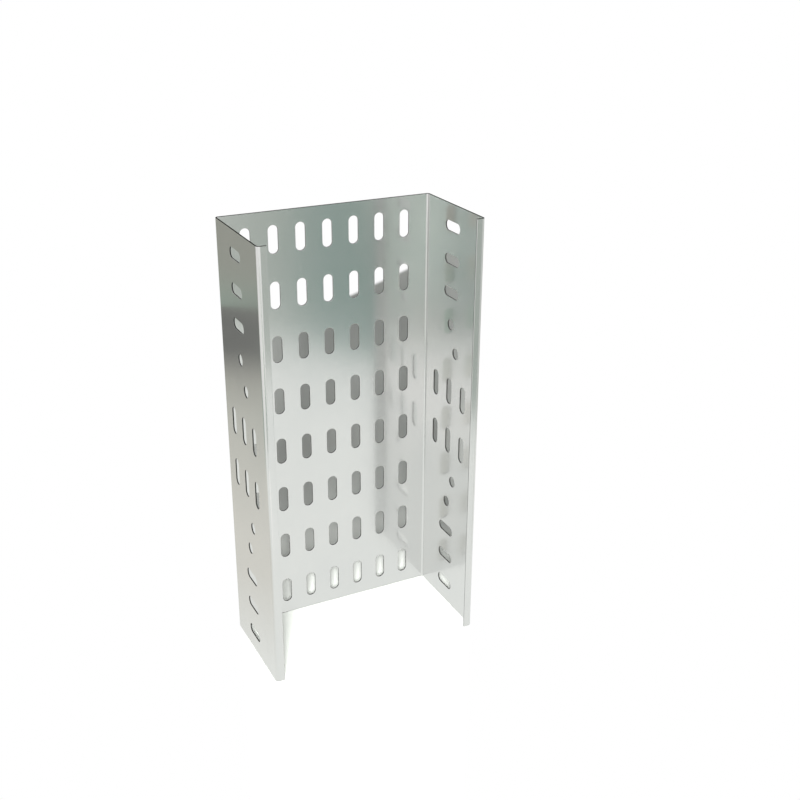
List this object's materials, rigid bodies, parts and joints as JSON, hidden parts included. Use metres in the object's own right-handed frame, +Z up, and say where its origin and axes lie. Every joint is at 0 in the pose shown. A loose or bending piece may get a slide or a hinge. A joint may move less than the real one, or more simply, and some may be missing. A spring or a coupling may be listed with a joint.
{
  "type": "perforated cable tray",
  "caption": "Folded steel channel with a slotted base, punched side walls and inward lips, for carrying and fixing cables.",
  "frame": {"origin": "middle of the tray's outline, on the floor under its lower end", "axes": "+Z up along the tray's length, +Y out of the back of the base, X across the base"},
  "size_m": [0.2, 0.1, 0.4],
  "materials": {
    "galvanised_sheet": "zinc coated, smooth and softly glossy"
  },
  "bodies": {
    "root": {"tray": "galvanised_sheet"}
  },
  "joints": []
}
